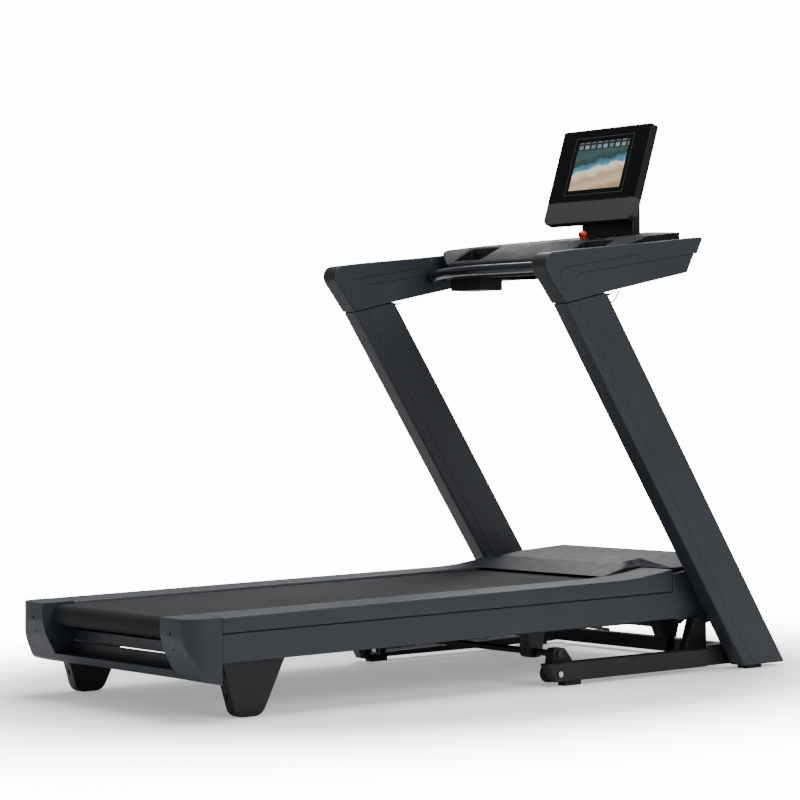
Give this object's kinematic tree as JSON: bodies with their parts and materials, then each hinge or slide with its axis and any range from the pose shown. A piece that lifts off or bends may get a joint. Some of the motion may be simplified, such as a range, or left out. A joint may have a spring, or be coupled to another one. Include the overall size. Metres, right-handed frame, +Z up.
{
  "type": "treadmill",
  "caption": "Folding motor treadmill: running deck on a lift frame, two leaning uprights with arms, console with keys and cup holders, and a tilting screen.",
  "frame": {"origin": "on the floor, at the middle of the machine's length and width", "axes": "+X the way the runner faces, +Y the runner's left, +Z up"},
  "size_m": [2.01, 0.933, 1.5512],
  "materials": {
    "slate_plastic": "satin moulded plastic",
    "slate_steel": "satin powder coat",
    "black_plastic": "fine grained moulding",
    "gloss_black": "polished black window",
    "painted_steel": "satin black paint",
    "bare_steel": "turned or drawn",
    "grip_metal": "dark polished grip",
    "rubber": "matte",
    "belt_rubber": "fine woven and matte",
    "deck_board": "waxed board with a dark face",
    "safety_red": "satin red",
    "motor_black": "black enamel",
    "circuit_board": "solder mask"
  },
  "bodies": {
    "stand": {"base_rail_left": "painted_steel", "base_rail_right": "painted_steel", "base_front_bar": "painted_steel", "lift_hinge_bar": "bare_steel", "wheel_bolt_left": "bare_steel", "wheel_bolt_right": "bare_steel", "upright_left": "slate_steel", "upright_right": "slate_steel", "arm_left": "slate_plastic", "arm_right": "slate_plastic", "console_tray": "slate_plastic", "control_panel": "gloss_black", "cup_holder_left": "black_plastic", "cup_holder_right": "black_plastic", "pulse_bar": "grip_metal", "screen_mast": "black_plastic", "tilt_pin": "bare_steel", "sensor_lead": "rubber"},
    "wheel_left": {"transport_wheel_left": "rubber"},
    "wheel_right": {"transport_wheel_right": "rubber"},
    "screen": {"screen_housing": "black_plastic", "screen_glass": "gloss_black", "speaker_bar": "slate_plastic"},
    "safety_key": {"safety_key": "safety_red"},
    "start_key": {"start_key": "black_plastic"},
    "stop_key": {"stop_key": "black_plastic"},
    "incline_key": {"incline_key": "black_plastic"},
    "speed_key": {"speed_key": "black_plastic"},
    "lift_frame": {"lift_arm_left": "painted_steel", "lift_arm_right": "painted_steel", "lift_cross_tube": "painted_steel"},
    "fold_carrier": {"fold_axle": "bare_steel"},
    "incline_motor": {"incline_motor": "motor_black"},
    "incline_pull": {"incline_pull_tube": "bare_steel"},
    "deck": {"frame_rail_left": "painted_steel", "frame_rail_right": "painted_steel", "rear_cross_member": "painted_steel", "motor_plate": "painted_steel", "running_deck": "deck_board", "running_belt": "belt_rubber", "foot_rail_left": "slate_plastic", "foot_rail_right": "slate_plastic", "side_panel_left": "slate_plastic", "side_panel_right": "slate_plastic", "rear_cap_left": "slate_plastic", "rear_cap_right": "slate_plastic", "rear_foot_left": "rubber", "rear_foot_right": "rubber", "rear_bar": "slate_plastic", "motor_hood": "slate_plastic", "belly_pan": "black_plastic", "drive_motor": "motor_black", "drive_belt": "rubber", "motor_controller": "circuit_board", "power_inlet": "black_plastic"},
    "front_roller": {"front_roller": "bare_steel"},
    "rear_roller": {"rear_roller": "bare_steel"},
    "flywheel": {"flywheel_pulley": "painted_steel"},
    "strut_cylinder": {"strut_cylinder": "painted_steel"},
    "strut_rod": {"strut_rod": "bare_steel"}
  },
  "joints": [
    {"name": "transport_wheel_left_spin", "type": "hinge", "parent": "stand", "child": "wheel_left", "pos_m": [0.1673, 0.374, 0.033], "axis": [0, 1, 0], "continuous": true},
    {"name": "transport_wheel_right_spin", "type": "hinge", "parent": "stand", "child": "wheel_right", "pos_m": [0.1673, -0.374, 0.033], "axis": [0, 1, 0], "continuous": true},
    {"name": "screen_tilt", "type": "hinge", "parent": "stand", "child": "screen", "pos_m": [0.77654, 0, 1.39402], "axis": [0, 1, 0], "range_deg": [-10, 10]},
    {"name": "safety_key_pull", "type": "slide", "parent": "stand", "child": "safety_key", "axis": [-0.1234, 0, 0.9924], "range_m": [0, 0.03]},
    {"name": "start_key_press", "type": "slide", "parent": "stand", "child": "start_key", "axis": [0.1234, 0, -0.9924], "range_m": [0, 0.0012], "stiffness_N_per_m": 1200, "springref_m": -0.0003},
    {"name": "stop_key_press", "type": "slide", "parent": "stand", "child": "stop_key", "axis": [0.1234, 0, -0.9924], "range_m": [0, 0.0012], "stiffness_N_per_m": 1200, "springref_m": -0.0003},
    {"name": "incline_key_rock", "type": "hinge", "parent": "stand", "child": "incline_key", "pos_m": [0.5778, 0.17, 1.21239], "axis": [0.9924, 0, 0.1234], "range_deg": [-2, 2], "stiffness_Nm_per_rad": 2},
    {"name": "speed_key_rock", "type": "hinge", "parent": "stand", "child": "speed_key", "pos_m": [0.5778, -0.17, 1.21239], "axis": [0.9924, 0, 0.1234], "range_deg": [-2, 2], "stiffness_Nm_per_rad": 2},
    {"name": "incline_lift", "type": "hinge", "parent": "stand", "child": "lift_frame", "pos_m": [0.1673, 0, 0.086], "axis": [0, -1, 0], "range_deg": [-4, 17]},
    {"name": "deck_level", "type": "hinge", "parent": "lift_frame", "child": "fold_carrier", "pos_m": [0.7373, 0, 0.16], "axis": [0, -1, 0], "range_deg": [-11.2, 2.8]},
    {"name": "deck_fold", "type": "hinge", "parent": "fold_carrier", "child": "deck", "pos_m": [0.7373, 0, 0.16], "axis": [0, 1, 0], "range_deg": [0, 58]},
    {"name": "incline_motor_swing", "type": "hinge", "parent": "stand", "child": "incline_motor", "pos_m": [0.9223, 0.342, 0.052], "axis": [0, 1, 0], "range_deg": [-0.3, 0.3]},
    {"name": "incline_pull_slide", "type": "slide", "parent": "incline_motor", "child": "incline_pull", "axis": [-0.9999, 0, -0.0159], "range_m": [-0.0145, 0.004]},
    {"name": "strut_swing", "type": "hinge", "parent": "deck", "child": "strut_cylinder", "pos_m": [0.25718, -0.12, 0.16572], "axis": [0, 1, 0], "range_deg": [-0.5, 4]},
    {"name": "strut_rod_slide", "type": "slide", "parent": "strut_cylinder", "child": "strut_rod", "axis": [0.9861, 0, -0.1664], "range_m": [-0.001, 0.1]},
    {"name": "front_roller_spin", "type": "hinge", "parent": "deck", "child": "front_roller", "pos_m": [0.62133, 0, 0.23349], "axis": [0, 1, 0], "continuous": true},
    {"name": "rear_roller_spin", "type": "hinge", "parent": "deck", "child": "rear_roller", "pos_m": [-0.94864, 0, 0.21294], "axis": [0, 1, 0], "continuous": true},
    {"name": "flywheel_spin", "type": "hinge", "parent": "deck", "child": "flywheel", "pos_m": [0.79432, 0, 0.23525], "axis": [0, 1, 0], "continuous": true}
  ],
  "couplings": [
    {"joint": "deck_level", "follows": "incline_lift", "ratio": -0.641},
    {"joint": "incline_motor_swing", "follows": "incline_lift", "ratio": 0.0081},
    {"joint": "incline_pull_slide", "follows": "incline_lift", "m_per_rad": -0.0455},
    {"joint": "strut_swing", "follows": "deck_fold", "ratio": 0.0531},
    {"joint": "strut_rod_slide", "follows": "deck_fold", "m_per_rad": 0.0968},
    {"joint": "rear_roller_spin", "follows": "front_roller_spin", "ratio": 1},
    {"joint": "flywheel_spin", "follows": "front_roller_spin", "ratio": 1.3438}
  ]
}
